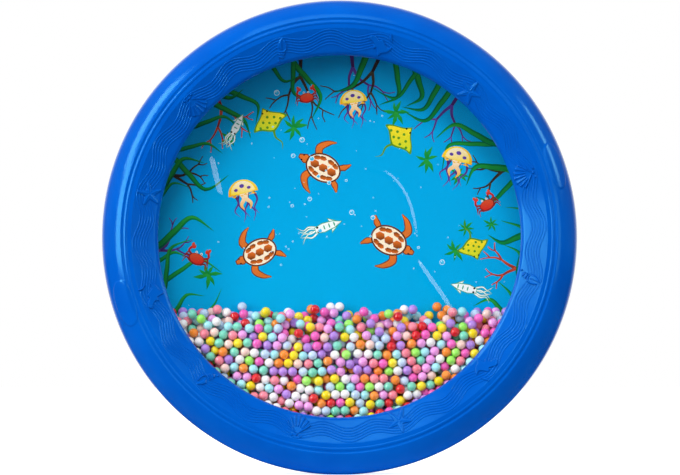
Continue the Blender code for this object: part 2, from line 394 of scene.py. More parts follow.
def add_piece(mesh, mat, body, sharp=None):
    """Put a finished mesh in the scene, under its own name, as a piece that rides on a body."""
    mesh.materials.append(mat)
    mesh.shade_smooth()
    if sharp:
        mesh.set_sharp_from_angle(angle=math.radians(sharp))
    obj = add_object(mesh.name, mesh)
    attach(obj, body)
    return obj


def mesh_from(bm, name):
    """Turn a bmesh into a mesh with outward normals."""
    bmesh.ops.recalc_face_normals(bm, faces=bm.faces[:])
    mesh = bpy.data.meshes.new(name)
    bm.to_mesh(mesh)
    bm.free()
    return mesh


def ring_mesh(name, radius, front, angles):
    """Closed ring: one row for each section point and one column for each angle."""
    rows, columns = radius.shape
    places = np.stack([radius * np.cos(angles), -front, CENTRE + radius * np.sin(angles)], axis=-1)
    index = np.arange(rows * columns).reshape(rows, columns)
    below = np.roll(index, -1, axis=0)
    quads = np.stack([index, np.roll(index, -1, axis=1), np.roll(below, -1, axis=1), below], axis=-1)
    rough = bpy.data.meshes.new(name + "_rough")
    rough.from_pydata((places.reshape(-1, 3) * MM).tolist(), [], quads.reshape(-1, 4).tolist())
    bm = bmesh.new()
    bm.from_mesh(rough)
    bpy.data.meshes.remove(rough)
    return mesh_from(bm, name)


def plain_arrays(points, angles):
    """Radius and front arrays of plain turned rows."""
    table = np.array(points)
    wide = np.ones((1, len(angles)))
    return table[:, :1] * wide, table[:, 1:2] * wide


# Outlines


def spline(knots, steps):
    """Smooth curve through knots, with some steps between each two."""
    knots = np.array(knots, float)
    ends = np.vstack([2 * knots[0] - knots[1], knots, 2 * knots[-1] - knots[-2]])
    curve = []
    for i in range(len(knots) - 1):
        a, b, c, d = ends[i:i + 4]
        for t in np.arange(steps) / steps:
            curve.append(0.5 * (2 * b + (c - a) * t + (2 * a - 5 * b + 4 * c - d) * t ** 2
                                + (3 * b - a - 3 * c + d) * t ** 3))
    return np.array(curve + [knots[-1]])


def ribbon(knots, widths, steps=6):
    """Outline of a strip along a smooth curve; the half widths run along it."""
    path = spline(knots, steps)
    half = np.interp(np.linspace(0, 1, len(path)), np.linspace(0, 1, len(widths)), widths)
    along = np.gradient(path, axis=0)
    along /= np.linalg.norm(along, axis=1)[:, None] + 1e-9
    side = np.stack([-along[:, 1], along[:, 0]], axis=1) * half[:, None]
    return np.vstack([path + side, (path - side)[::-1]])


def turned(points, degrees):
    """Points turned about the origin."""
    c, s = math.cos(math.radians(degrees)), math.sin(math.radians(degrees))
    return np.array(points) @ np.array([[c, s], [-s, c]])


def oval(centre, radii, turn=0.0, steps=22, start=0.0, end=360.0):
    """Outline of an oval, or of a part of one with its ends."""
    angles = np.radians(np.linspace(start, end, steps + 1))
    if end - start >= 360:
        angles = angles[:-1]
    flat = np.stack([radii[0] * np.cos(angles), radii[1] * np.sin(angles)], axis=1)
    return turned(flat, turn) + centre


def covers(outline, points):
    """Which points lie inside a closed outline."""
    inside = np.zeros(len(points), bool)
    for (ax, az), (bx, bz) in zip(outline, np.roll(outline, -1, axis=0)):
        spans = (az > points[:, 1]) != (bz > points[:, 1])
        if spans.any():
            cross = ax + (points[:, 1] - az) * (bx - ax) / (bz - az if bz != az else 1e-9)
            inside ^= spans & (points[:, 0] < cross)
    return inside


# Frames


def on_bezel(radius):
    """Front of a bezel's cone at a radius."""
    return BEZEL_LOW + (radius - BEZEL_INNER) / (BEZEL_OUTER - BEZEL_INNER) * (BEZEL_HIGH - BEZEL_LOW)


def bezel_arrays(angles):
    """Radius and front arrays of a bezel, from its outer edge inward, with the raised wave lines."""
    crest = ((1.0, 0.0), (0.55, 0.7), (0.0, 1.0), (-0.55, 0.7), (-1.0, 0.0))
    rows = [(BEZEL_OUTER, 0.0, 0.0), (BEZEL_OUTER - BEZEL_GUARD, 0.0, 0.0)]
    for line in range(WAVE_LINES):
        mean = WAVE_OUTER_MEAN - line * WAVE_PITCH
        rows.append((mean + LINE_GUARD, 1.0, 0.0))
        rows += [(mean + side * LINE_HALF_WIDTH, 1.0, rise * LINE_HEIGHT) for side, rise in crest]
        rows.append((mean - LINE_GUARD, 1.0, 0.0))
    rows = np.array(rows + [(BEZEL_INNER + BEZEL_GUARD, 0.0, 0.0), (BEZEL_INNER, 0.0, 0.0)])
    wave = np.cos(WAVES * (angles - WAVE_CREST))
    radius = rows[:, :1] + rows[:, 1:2] * WAVE_SWING * wave[None, :]
    return radius, on_bezel(radius) + rows[:, 2:3]


def arc_chain(start, arcs, steps=8):
    """Section points along arcs toward the axis, as radius, front and tilt; the start is left out."""
    radius, front = start[:2]
    points = []
    for first, last, bend in arcs:
        tilts = np.radians(np.linspace(first, last, steps + 1))
        for before, after in zip(tilts, tilts[1:]):
            radius += bend * (math.sin(after) - math.sin(before))
            front += bend * (math.cos(after) - math.cos(before))
            points.append((radius, front, math.degrees(after)))
    return points


def window_lip():
    """Rounded edge of the bezel, from its inner end to the seat of the head."""
    edge = [(radius, front) for radius, front, _ in arc_chain((BEZEL_INNER, BEZEL_LOW), LIP_ARCS, 10)]
    return edge + [(WINDOW_RADIUS, SEAT), (CHANNEL_INNER, SEAT)]


def ring_angles():
    """Even column angles, with closer ones across the pads."""
    even = np.arange(RING_COLUMNS) * 2 * math.pi / RING_COLUMNS
    close = []
    for middle, _, _ in PADS:
        even = even[abs(even - middle) > PAD_HALF + 2 * PAD_COLUMN]
        first = middle - PAD_HALF - PAD_COLUMN
        close.append(np.arange(first, middle + PAD_HALF + 2 * PAD_COLUMN, PAD_COLUMN))
    return np.sort(np.concatenate([even] + close))


def pad_weight(radius, angles):
    """One on the pads, nothing elsewhere, with a short step between."""
    weight = np.zeros((len(radius), len(angles)))
    for middle, centre, half in PADS:
        across = (angles - middle)[None, :] / PAD_HALF
        along = (radius[:, None] - centre) / half
        inside = (1 - (abs(across) ** PAD_POWER + abs(along) ** PAD_POWER) ** (1 / PAD_POWER)) / PAD_EDGE
        weight = np.maximum(weight, np.clip(inside, 0, 1))
    return weight


def lifted(point):
    """Section point raised to the pads' surface along its normal."""
    radius, front, tilt = point
    way = math.radians(tilt)
    return radius + PAD_RISE * math.sin(way), front + PAD_RISE * math.cos(way), tilt


def front_section(raised):
    """Front section from wall to bezel; raised gives the pads' surface, lifted and without the groove."""
    start = (DRUM_RADIUS, ROLL_FOOT, 90.0)
    roll = [start] + arc_chain(start, ROLL_ARCS, 48)
    groove = arc_chain(roll[-1], GROOVE_ARCS)
    ridge = arc_chain(groove[-1], RIDGE_ARCS)
    land = (ridge[-1][0] - LAND_WIDTH, ridge[-1][1])
    edge = arc_chain(land, EDGE_ARCS, 4)[:-1]
    if raised:
        roll = [lifted(point) for point in roll]
        top, foot = roll[-1], groove[-1]
        groove = [(r, np.interp(r, (foot[0], top[0]), (foot[1], top[1])), 0.0) for r, _, _ in groove]
    return [point[:2] for point in roll + groove + ridge] + [land] + [point[:2] for point in edge]


def front_ring(blue):
    """Front frame: roll with two pads, groove, ridge, bezel with wave lines and the window lip."""
    angles = ring_angles()
    plain, raised = (np.array(plain_arrays(WALL_FOOT + front_section(up), angles)) for up in (False, True))
    outer = plain + (raised - plain) * pad_weight(plain[0, :, 0], angles)
    inside = [
        (CHANNEL_INNER, CHANNEL_ROOF - ROOF_CHAMFER[1]), (CHANNEL_INNER + ROOF_CHAMFER[0], CHANNEL_ROOF),
        (WALL_INNER - ROOF_SLOPE, CHANNEL_ROOF), (WALL_INNER, WALL_TOP), (WALL_INNER, PARTING_EDGE),
    ]
    inner = plain_arrays(window_lip() + inside, angles)
    radius, front = np.concatenate([outer, bezel_arrays(angles), inner], axis=1)
    mesh = ring_mesh("front_frame_shell", radius, front, angles)
    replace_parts(add_piece(mesh, blue, "drum", 50), "front_frame")


def cut_wells(mesh):
    """The rear frame's mesh with the screw wells cut in."""
    wells = bmesh.new()
    for number in range(SCREW_COUNT):
        place = world(*polar(SCREW_CIRCLE, 2 * math.pi * number / SCREW_COUNT), -HALF_DEPTH)
        bmesh.ops.create_cone(
            wells, cap_ends=True, segments=32, radius1=WELL_RADIUS * MM, radius2=WELL_RADIUS * MM,
            depth=2 * (HALF_DEPTH - WELL_FLOOR) * MM,
            matrix=Matrix.Translation(place) @ Matrix.Rotation(math.pi / 2, 4, "X"),
        )
    cutter = add_object("wells", mesh_from(wells, "wells"))
    blank = add_object("rear_blank", mesh)
    boolean = blank.modifiers.new("wells", "BOOLEAN")
    boolean.operation = "DIFFERENCE"
    boolean.solver = "EXACT"
    boolean.object = cutter
    depsgraph = bpy.context.evaluated_depsgraph_get()
    cut = bpy.data.meshes.new_from_object(blank.evaluated_get(depsgraph))
    for obj in (cutter, blank):
        bpy.data.objects.remove(obj, do_unlink=True)
    return cut


def rear_ring(blue):
    """Rear frame: roll, flat back with screw wells, bezel with wave lines, and the tongue."""
    angles = np.arange(RING_COLUMNS) * 2 * math.pi / RING_COLUMNS
    roll = oval((DRUM_RADIUS - REAR_ROLL, WALL_TOP), (REAR_ROLL, HALF_DEPTH - WALL_TOP), 0, 12, 0, 90)
    flat = [(radius, HALF_DEPTH - drop) for radius, drop in BACK_FLAT]
    outer = plain_arrays([*WALL_FOOT, (DRUM_RADIUS, WALL_TOP / 2), *roll, *flat], angles)
    inside = [
        (CHANNEL_INNER, CHANNEL_ROOF), (TONGUE_INNER, CHANNEL_ROOF), (TONGUE_INNER, -TONGUE_TOP),
        (TONGUE_OUTER, -TONGUE_TOP), (TONGUE_OUTER, PARTING_EDGE),
    ]
    inner = plain_arrays(window_lip() + inside, angles)
    radius, front = np.concatenate([outer, bezel_arrays(angles), inner], axis=1)
    cut = cut_wells(ring_mesh("rear_blank", radius, -front, angles))
    cut.name = "rear_frame_shell"
    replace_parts(add_piece(cut, blue, "drum", 45), "rear_frame")


# Ornaments


def relief_heights(forms, points):
    """Heights of a relief over points of its plane; a form is an outline, a height and an edge width."""
    total = np.zeros(len(points))
    for outline, height, soft in forms:
        outline = np.array(outline, float)
        inner = covers(outline, points).nonzero()[0]
        along = np.roll(outline, -1, axis=0) - outline
        gap = points[inner, None] - outline[None]
        part = np.clip((gap * along).sum(axis=-1) / ((along ** 2).sum(axis=-1) + 1e-9), 0, 1)
        depth = np.linalg.norm(gap - part[..., None] * along, axis=-1).min(axis=1)
        rounding = 1 - np.clip(depth / soft, 0, 1)
        total[inner] = np.maximum(total[inner], height * np.sqrt(1 - rounding ** 2))
    return total * ORNAMENT_HEIGHT


def relief_mesh(name, heights, points, angle):
    """Closed mesh of a relief on the bezel; the plane's axes run clockwise and outward."""
    count = round(math.sqrt(len(points)))
    across = np.array([math.sin(angle), -math.cos(angle)])
    places = (ORNAMENT_RADIUS + points[:, 1:]) * polar(1, angle) + points[:, :1] * across
    ground = on_bezel(np.hypot(places[:, 0], places[:, 1]))
    index = np.arange(count * count).reshape(count, count)
    cells = np.stack([index[:-1, :-1], index[1:, :-1], index[1:, 1:], index[:-1, 1:]], axis=-1)
    cells = cells.reshape(-1, 4)
    cells = cells[(heights[cells] > 0).any(axis=1)]
    edges = np.stack([cells, np.roll(cells, -1, axis=1)], axis=-1).reshape(-1, 2)
    known = set(map(tuple, edges.tolist()))
    top = {}
    root = {}
    bm = bmesh.new()
    for spot in np.unique(cells):
        x, z = places[spot]
        rise = heights[spot] if heights[spot] > 0 else -RELIEF_SINK
        top[spot] = bm.verts.new(world(x, z, ground[spot] + rise))
        root[spot] = bm.verts.new(world(x, z, ground[spot] - RELIEF_ROOT))
    for cell in cells:
        bm.faces.new([top[spot] for spot in cell])
        bm.faces.new([root[spot] for spot in cell[::-1]])
    for first, second in known:
        if (second, first) not in known:
            bm.faces.new((top[first], root[first], root[second], top[second]))
    return mesh_from(bm, name)


def scallop():
    """Fan shell: ribs that spread below a hinge, with its two ears and straight sides."""
    hinge = np.array([0, 3.2])
    fan = oval(hinge, (7.3, 8.0), steps=18, start=228, end=312)
    forms = [(np.vstack([[(0.8, 2.4), (-0.8, 2.4)], fan]), 0.32, 0.3)]
    for rib in range(-3, 4):
        spread = math.radians(rib * 14.5)
        reach = 8.3 - 0.12 * rib * rib
        way = np.array([math.sin(spread), -math.cos(spread)])
        knots = [hinge + way * step for step in (3.4, 5.8, reach)]
        forms.append((ribbon(knots, [0.2, 0.36, 0.5], 3), 1.0, 0.42))
    forms.append((oval((0, 2.9), (0.55, 0.5)), 1.0, 0.4))
    for side in (-1, 1):
        flank = [(side * 0.7, 2.0), (side * 2.0, 0.8), (side * 3.3, -0.5)]
        forms.append((ribbon(flank, [0.26, 0.3, 0.26], 3), 0.9, 0.28))
        forms.append((oval((side * 1.9, 3.3), (0.6, 0.45), -20 * side), 0.9, 0.4))
    return forms


def starfish():
    """Five-armed star with blunt tips, one arm outward, and a ridge along each arm."""
    middle = np.array([0, -0.9])
    outline = []
    forms = []
    for arm in range(5):
        tip = 90 + arm * 72
        for shift, reach in ((-36, 2.0), (-7, 4.6), (-4, 5.15), (4, 5.15), (7, 4.6)):
            outline.append(middle + polar(reach, math.radians(tip + shift)))
        ridge = turned(ribbon([(0.2, 0), (2.4, 0), (4.6, 0)], [0.5, 0.42, 0.2], 3), tip) + middle
        forms.append((ridge, 1.05, 0.5))
    return [(outline, 0.72, 0.28)] + forms


def dolphin():
    """Diving dolphin: body with fins and one fluke, the other fluke apart, and an eye."""
    body = [
        (-5.5, 1.2), (-5.3, 2.2), (-4.4, 2.9), (-3.2, 2.8), (-1.9, 2.0), (-0.9, 1.3), (0.5, 2.2), (1.1, 1.5),
        (2.0, 0.1), (2.9, -0.9), (4.0, -0.7), (5.0, -0.3), (4.7, -1.4), (3.6, -2.6), (2.2, -3.3), (0.9, -3.6),
        (-0.1, -5.0), (-0.7, -4.8), (-1.0, -3.2), (-1.5, -1.8), (-2.6, -2.4), (-3.1, -2.1), (-2.7, -0.6),
        (-3.7, 0.4),
    ]
    fluke = ribbon([(3.4, 4.7), (3.7, 3.1), (4.7, 1.5)], [0.2, 0.62, 0.15], 5)
    eye = oval((-4.2, 1.9), (0.3, 0.3), steps=12)
    return [(body, 0.85, 0.34), (fluke, 0.9, 0.34), (eye, 1.15, 0.25)]


def whelk():
    """Pointed whelk: body whorl with its lip, two narrow whorls and the tip."""
    base = ribbon([(2.2, 4.0), (1.3, 1.2), (0.1, -2.2), (-0.8, -3.8)], [0.5, 1.9, 1.5, 0.6], 5)
    whorl = ribbon([(2.2, 3.7), (1.1, 2.2), (0.5, 0.9), (1.0, -0.5)], [0.15, 0.8, 1.0, 0.25], 5)
    mouth = [(2.95, 2.5), (2.9, 0.8), (2.4, -0.9), (1.2, -1.5), (-0.7, -0.9)]
    lip = ribbon(mouth, [0.28, 0.36, 0.38, 0.36, 0.28], 5)
    upper = ribbon([(-1.0, -1.8), (0.2, -2.2), (1.4, -2.6)], [0.3, 0.34, 0.3], 4)
    lower = ribbon([(-1.3, -2.8), (-0.4, -3.3), (0.6, -3.8)], [0.28, 0.32, 0.28], 4)
    tip = oval((-1.9, -4.5), (0.45, 0.5), steps=14)
    whorls = [(base, 0.3, 0.3), (whorl, 1.0, 0.6), (lip, 1.0, 0.34)]
    return whorls + [(upper, 0.95, 0.3), (lower, 0.9, 0.28), (tip, 0.9, 0.4)]


def ornaments(blue):
    """Raised sea ornaments round the front bezel."""
    ticks = np.arange(-RELIEF_HALF, RELIEF_HALF, RELIEF_STEP)
    points = np.stack(np.meshgrid(ticks, ticks, indexing="ij"), axis=-1).reshape(-1, 2)
    kinds = (scallop, starfish, dolphin, whelk)
    for place, kind in enumerate(kinds):
        heights = relief_heights(kind(), points)
        for turn in range(ORNAMENT_COUNT // len(kinds)):
            angle = ORNAMENT_FIRST + 2 * math.pi * (place + turn * len(kinds)) / ORNAMENT_COUNT
            mesh = relief_mesh(f"{kind.__name__}_{turn + 1}", heights, points, angle)
            add_piece(mesh, blue, "drum", 60)


# Print


def inked(outline, colour, fade=None):
    """One printed shape: an outline and a colour, or two that fade from its low to its high side."""
    return np.array(outline), colour, fade or colour


def dot(centre, radii, colour, fade=None, turn=0.0, steps=22):
    """One printed oval."""
    return inked(oval(centre, radii, turn, steps), colour, fade)


def turtle():
    """Sea turtle seen from above, head to the right."""
    shapes = []
    for side in (-1, 1):
        front = [(0.4, 0.35 * side), (0.62, 0.8 * side), (0.35, 1.2 * side), (-0.02, 1.42 * side)]
        rear = [(-0.6, 0.3 * side), (-0.92, 0.5 * side), (-1.15, 0.78 * side)]
        shapes += [
            inked(ribbon(front, [0.17, 0.21, 0.15, 0.03]), SHELL_BROWN),
            inked(ribbon(front, [0.13, 0.16, 0.1, 0.01]), SKIN, SHELL_ORANGE),
            inked(ribbon(rear, [0.12, 0.17, 0.05]), SHELL_BROWN),
            inked(ribbon(rear, [0.08, 0.12, 0.02]), SKIN, SHELL_ORANGE),
        ]
    shapes += [
        inked(ribbon([(0.7, 0), (1.0, 0), (1.36, 0)], [0.15, 0.25, 0.1]), SHELL_BROWN),
        inked(ribbon([(0.7, 0), (1.0, 0), (1.32, 0)], [0.11, 0.2, 0.06]), SKIN, SHELL_ORANGE),
    ]
    shapes += [dot((1.14, 0.13 * side), (0.05, 0.04), DARK_INK, steps=8) for side in (-1, 1)]
    shapes += [dot((0, 0), (0.92, 0.7), SHELL_BROWN, steps=32), dot((0, 0), (0.84, 0.62), CREAM, steps=32)]
    shapes += [dot((x, 0), (0.25, 0.21), SHELL_BROWN, SHELL_ORANGE, steps=6) for x in (-0.47, 0.0, 0.47)]
    for x, y, turn in ((-0.5, 0.34, 20), (-0.23, 0.42, 8), (0.22, 0.42, -8), (0.5, 0.33, -20)):
        for side in (-1, 1):
            shapes.append(dot((x, y * side), (0.2, 0.12), SHELL_ORANGE, SHELL_BROWN, turn * side, 6))
    return shapes


def jellyfish():
    """Jellyfish with a spotted bell and trailing arms."""
    shapes = []
    for x, reach, bend in (
        (-0.6, 1.35, 0.16), (-0.3, 1.7, -0.14), (0.0, 1.5, 0.15), (0.3, 1.75, -0.15), (0.6, 1.4, 0.14),
    ):
        knots = [(x, 0.1), (x + bend, -0.35 * reach), (x - bend, -0.7 * reach), (x + 0.5 * bend, -reach)]
        shapes.append(inked(ribbon(knots, [0.07, 0.06, 0.04, 0.01]), VIOLET_INK, PLUM))
    for x, bend in ((-0.16, 0.12), (0.2, -0.12)):
        knots = [(x, 0.1), (x + bend, -0.3), (x - bend, -0.65), (x, -1.0)]
        shapes.append(inked(ribbon(knots, [0.14, 0.13, 0.1, 0.02]), GOLD, CREAM))
    dome = oval((0, 0), (0.92, 0.86), steps=20, start=0, end=180)
    hem = [(0.92 - 0.23 * i - 0.115, -0.16 if i % 2 == 0 else 0.0) for i in range(8)]
    shapes.append(inked(np.vstack([dome, hem]), GOLD, YELLOW))
    shapes.append(inked(np.vstack([dome * 0.8 + (0, 0.09), [(-0.4, 0.02), (0.4, 0.02)]]), YELLOW, CREAM))
    for x, y, size in ((-0.4, 0.3, 0.12), (0.0, 0.48, 0.15), (0.4, 0.3, 0.12)):
        shapes.append(dot((x, y), (size, size * 0.8), VIOLET_INK, steps=12))
    return shapes


def ray():
    """Spotted ray seen from above, nose to the right."""
    wing = [(1.0, 0.0), (0.55, 0.38), (0.15, 0.95), (-0.2, 1.22), (-0.3, 0.8), (-0.62, 0.3), (-0.75, 0.0)]
    half = spline(wing, 5)
    body = np.vstack([half, (half * (1, -1))[::-1][1:-1]])
    tail = ribbon([(-0.6, 0), (-1.1, 0.12), (-1.6, -0.08), (-2.0, 0.1)], [0.09, 0.06, 0.04, 0.01])
    shapes = [inked(tail, LEAF_INK), inked(body, LEAF_INK), inked(body * 0.86 + (0.02, 0), LIME_INK, YELLOW)]
    for x, y in ((0.1, 0.4), (-0.15, 0.72), (-0.3, 0.3), (0.3, 0.0), (-0.1, 0.05)):
        for side in (-1, 1) if y > 0.06 else (1,):
            shapes.append(dot((x, y * side), (0.09, 0.09), LEAF_INK, steps=10))
    return shapes + [dot((0.66, 0.17 * side), (0.07, 0.06), DARK_INK, steps=8) for side in (-1, 1)]


def crab():
    """Small red crab."""
    shapes = []
    for side in (-1, 1):
        for lift, reach in ((0.25, 1.2), (0.0, 1.3), (-0.28, 1.15)):
            knots = [(0.5 * side, lift - 0.1), (0.95 * side, lift + 0.12), (reach * side, lift - 0.42)]
            shapes.append(inked(ribbon(knots, [0.08, 0.08, 0.02], 4), CORAL[0]))
        arm = [(0.55 * side, 0.25), (0.98 * side, 0.5), (0.82 * side, 0.92)]
        shapes += [
            inked(ribbon(arm, [0.1, 0.1, 0.12], 4), CORAL[0], RED_INK),
            dot((0.72 * side, 1.08), (0.3, 0.2), RED_INK, CORAL[1], 55 * side),
            inked([(0.62 * side, 1.1), (0.6 * side, 1.45), (0.8 * side, 1.4)], WATER_LOW),
            dot((0.24 * side, 0.6), (0.11, 0.13), WHITE_INK, steps=10),
            dot((0.24 * side, 0.62), (0.05, 0.06), DARK_INK, steps=8),
        ]
    return shapes + [dot((0, 0), (0.78, 0.55), CORAL[0]), dot((0, 0.05), (0.68, 0.45), RED_INK, CORAL[1])]


def squid():
    """Pale squid, mantle to the right."""
    shapes = []
    for y, bend in ((-0.2, -0.18), (-0.1, 0.1), (0.0, -0.1), (0.1, 0.12), (0.2, 0.16)):
        knots = [(-0.3, y), (-0.75, y + bend), (-1.15, y * 1.6 - bend * 0.4), (-1.5, y * 2.2 + bend)]
        shapes.append(inked(ribbon(knots, [0.08, 0.07, 0.05, 0.01], 5), GREEN_LINE))
        shapes.append(inked(ribbon(knots, [0.05, 0.04, 0.02, 0.0], 5), WHITE_INK))
    fin = np.array([(0.75, 0.0), (0.6, 0.55), (1.45, 0.0), (0.6, -0.55)])
    shapes += [
        inked(fin, GREEN_LINE),
        inked(fin * 0.82 + (0.17, 0), WHITE_INK),
        inked(ribbon([(-0.4, 0), (0.2, 0), (0.9, 0), (1.5, 0)], [0.2, 0.34, 0.26, 0.02]), GREEN_LINE),
        inked(ribbon([(-0.36, 0), (0.2, 0), (0.9, 0), (1.44, 0)], [0.16, 0.28, 0.2, 0.0]), WHITE_INK),
    ]
    shapes += [dot((-0.2, 0.14 * side), (0.08, 0.07), DARK_INK, steps=10) for side in (-1, 1)]
    return shapes + [dot((x, 0), (0.05, 0.16), GREEN_LINE, steps=10) for x in (0.25, 0.6, 0.95)]


def bubble():
    """Bubble with a bright spot."""
    return [
        dot((0, 0), (1, 1), WHITE_INK, steps=24),
        dot((0, 0), (0.84, 0.84), WATER_LOW, BUBBLE_INK, steps=24),
        dot((-0.3, 0.36), (0.24, 0.15), WHITE_INK, turn=35, steps=12),
    ]


def blade(start, lean, length, half, rng):
    """Blade of weed that grows inward from the rim, with a lighter face."""
    base = polar(WEED_ROOT, math.radians(start))
    sway = rng.uniform(0.06, 0.16) * rng.choice([-1, 1])
    knots = np.array([(0, 0), (0.25, sway), (0.5, 0), (0.75, -sway), (1, 0.4 * sway)]) * length
    widths = half * np.array([0.8, 1.0, 0.95, 0.65, 0.0])
    dark, mid, light = KELP
    shapes = []
    for size, shift, tones in ((1.0, 0.0, (dark, mid)), (0.55, 0.2, (mid, light))):
        outline = ribbon(knots + (0, shift * half), widths * size, 7)
        shapes.append(inked(turned(outline, start + 180 + lean) + base, *tones))
    return shapes


def sprig(centre, size, rng):
    """Cluster of small pointed leaves."""
    shapes = []
    for leaf in range(7):
        heading = leaf * 360 / 7 + rng.uniform(-18, 18)
        outline = ribbon([(0, 0), (0.5, 0.05), (1, 0)], [0.08, 0.14, 0.0], 4) * size * rng.uniform(0.7, 1.1)
        shapes.append(inked(turned(outline, heading) + centre, KELP[1], KELP[2]))
    return shapes


def branch_coral(base, heading, length, width, depth, colours, rng):
    """Branching coral."""
    tip = base + polar(length, heading)
    bend = rng.uniform(-0.12, 0.12) * length * np.array([-math.sin(heading), math.cos(heading)])
    stem = ribbon([base, (base + tip) / 2 + bend, tip], [width, 0.8 * width, 0.62 * width], 4)
    shapes = [inked(stem, *colours)]
    if not depth:
        return shapes + [dot(tip, (width * 0.8, width * 0.8), colours[1], steps=10)]
    for side in (-1, 1):
        way = heading + side * rng.uniform(0.3, 0.65)
        reach = length * rng.uniform(0.62, 0.8)
        shapes += branch_coral(tip, way, reach, width * 0.66, depth - 1, colours, rng)
    return shapes


def placed(shapes, centre, heading, size):
    """Motif turned, sized and moved into the print."""
    return [(turned(outline * size, heading) + centre, low, high) for outline, low, high in shapes]


def scattered(rng, near, far, start, end):
    """Random place in the print between two radii and two angles in degrees."""
    return polar(rng.uniform(near, far), math.radians(rng.uniform(start, end)))


def sea_print():
    """Every shape of the print, back to front: water, weed, coral and sea animals."""
    rng = np.random.default_rng(PRINT_SEED)
    # The water is lighter at the bottom and darker toward the top: painted shade, as under the rim
    shapes = [dot((0, 0), (FILM_RADIUS, FILM_RADIUS), WATER_LOW, WATER_TOP_SHADE, steps=192)]
    for angle, size, colours in (
        (101, 15, ROOT), (88, 13, VIOLETS), (76, 14, ROOT), (130, 11, CORAL), (52, 12, VIOLETS),
        (186, 10, VIOLETS), (-8, 10, CORAL), (160, 10, ROOT), (22, 11, ROOT),
    ):
        turn = math.radians(angle)
        heading = turn + math.pi + rng.uniform(-0.3, 0.3)
        shapes += branch_coral(polar(CORAL_ROOT, turn), heading, size, 1.1, 3, colours, rng)
    for side in (1, -1):
        for number in range(17):
            start = 90 + side * (12 + number * 6.9 + rng.uniform(-2.5, 2.5))
            lean = side * rng.uniform(-8, 52)
            shapes += blade(start, lean, rng.uniform(20, 38), rng.uniform(0.8, 1.5), rng)
    for _ in range(9):
        place = scattered(rng, 48, 66, -20, 200)
        shapes += sprig(place, rng.uniform(4, 6.5), rng)
    for motif, centre, heading, size in (
        (turtle(), (-7, 30), 152, 8.6), (turtle(), (21, -1), -28, 8.8), (turtle(), (-34, -6), 205, 8.2),
        (jellyfish(), (-41, 19), 14, 7.0), (jellyfish(), (50, 33), -16, 7.2), (jellyfish(), (6, 58), 8, 6.4),
        (ray(), (26, 43), 40, 6.8), (ray(), (-30, 50), 118, 6.6), (ray(), (57, -4), -70, 5.8),
        (crab(), (-61, -9), -24, 4.6), (crab(), (63, 14), 30, 4.3), (crab(), (-14, 60), 8, 4.0),
        (squid(), (-8, 4), 20, 6.4), (squid(), (56, -22), 165, 6.0), (squid(), (-45, 46), 62, 5.4),
    ):
        shapes += placed(motif, centre, heading, size)
    for size_low, size_high, count in ((0.5, 1.2, 16), (0.18, 0.4, 60)):
        for _ in range(count):
            place = scattered(rng, 5, 74, -25, 205)
            shapes += placed(bubble(), place, 0, rng.uniform(size_low, size_high))
    return shapes


def print_mesh(name):
    """Film disc whose faces follow the printed shapes; each face has the ink of the topmost shape."""
    shapes = sea_print()
    points = []
    edges = []
    for outline, _, _ in shapes:
        count = len(outline)
        edges += [(len(points) + i, len(points) + (i + 1) % count) for i in range(count)]
        points += [Vector(point) for point in outline]
    grid = np.arange(-84, 85, 6)
    points += [Vector((x, z)) for x in grid for z in grid if math.hypot(x, z) < FILM_RADIUS - 3]
    places, _, flat, _, _, _ = delaunay_2d_cdt(points, edges, [], 0, 0.001)
    places = np.array(places)
    flat = np.array(flat)
    middles = places[flat].mean(axis=1)
    tints = np.zeros((len(flat), 3, 4))
    for outline, low, high in shapes:
        bottom, top = outline.min(axis=0), outline.max(axis=0)
        near = np.all((middles >= bottom) & (middles <= top), axis=1).nonzero()[0]
        inner = near[covers(outline, middles[near])]
        part = np.clip((places[flat[inner], 1] - bottom[1]) / (top[1] - bottom[1]), 0, 1)[..., None]
        tints[inner] = np.array(linear(low)) * (1 - part) + np.array(linear(high)) * part
    count = len(places)
    rim = np.argsort(np.arctan2(places[:, 1], places[:, 0]))
    rim = rim[np.hypot(places[rim, 0], places[rim, 1]) > FILM_RADIUS - 0.01]
    after = np.roll(rim, -1)
    verts = [world(x, z, -level) for level in (FILM_BACK, FILM_FRONT) for x, z in places]
    edge_faces = np.stack([rim, after, after + count, rim + count], axis=1)
    mesh = bpy.data.meshes.new(name)
    mesh.from_pydata(verts, [], flat.tolist() + (flat[:, ::-1] + count).tolist() + edge_faces.tolist())
    border = np.tile(linear(WATER_LOW), (4 * len(rim), 1))
    inks = np.vstack([tints.reshape(-1, 4), tints[:, ::-1].reshape(-1, 4), border])
    layer = mesh.color_attributes.new("ink", "FLOAT_COLOR", "CORNER")
    layer.data.foreach_set("color", inks.ravel())
    return mesh


# Heads


def nearest_on(path, x, z):
    """How far a point is from a path, and how far along the path, from 0 to 1, its nearest place is."""
    starts, steps = path[:-1], np.diff(path, axis=0)
    away = np.array((x, z)) - starts
    share = np.clip(np.sum(away * steps, axis=1) / np.sum(steps ** 2, axis=1), 0, 1)
    gaps = np.linalg.norm(away - steps * share[:, None], axis=1)
    nearest = int(np.argmin(gaps))
    return gaps[nearest], (nearest + share[nearest]) / len(steps)


